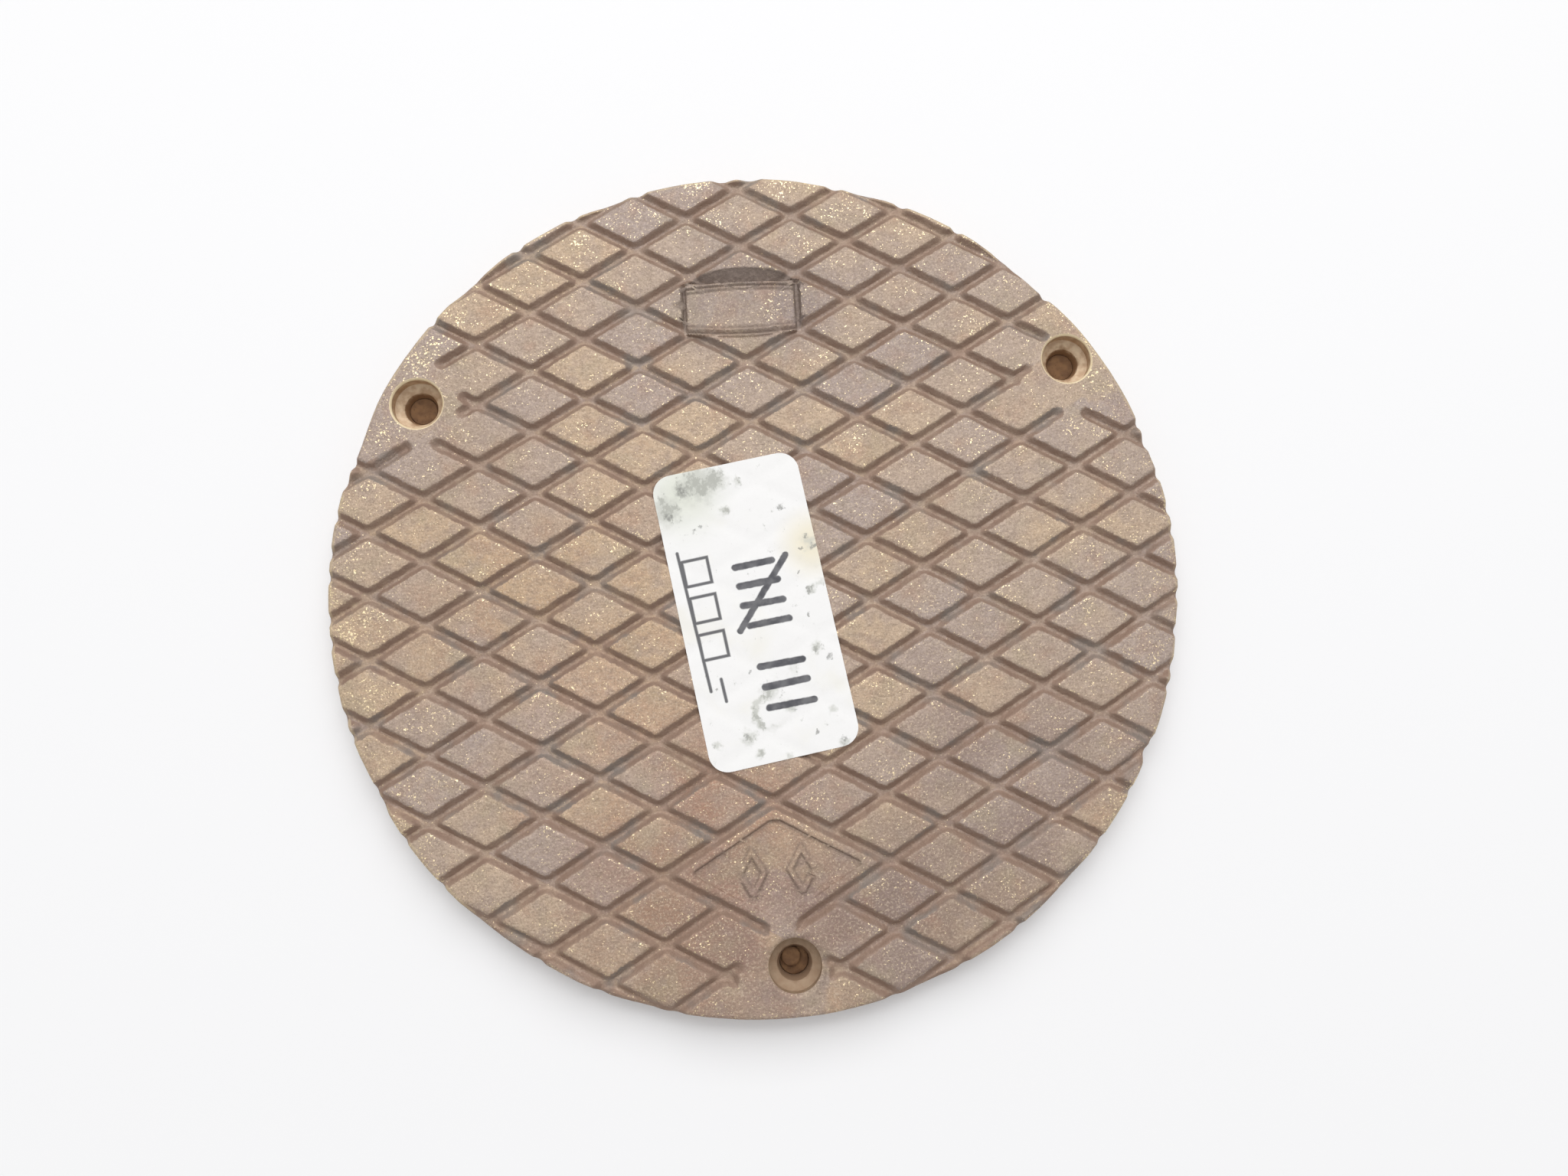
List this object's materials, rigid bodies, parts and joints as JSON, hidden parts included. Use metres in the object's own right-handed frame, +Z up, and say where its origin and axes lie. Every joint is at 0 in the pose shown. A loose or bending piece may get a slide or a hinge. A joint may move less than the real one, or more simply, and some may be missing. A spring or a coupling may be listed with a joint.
{
  "type": "floor cleanout cover",
  "caption": "Round cast bronze floor cleanout cover with a diamond-grooved tread, counterbored screw holes near the rim and a paper label stuck on the middle.",
  "frame": {"origin": "centre of the seat on the underside of the cover", "axes": "+Z up through the tread, +X along the long diagonals of the tread diamonds, the large diamond on the -Y side and the badge field on the +Y side"},
  "size_m": [0.147, 0.147, 0.0066],
  "materials": {
    "cast_bronze": "sand-cast bronze with a dull brown patina, worn golden on the rim and bright where the holes are drilled",
    "label_paper": "matt white paper with grey dirt smudges"
  },
  "bodies": {
    "root": {"cover": "cast_bronze", "paper_label": "label_paper"}
  },
  "joints": []
}
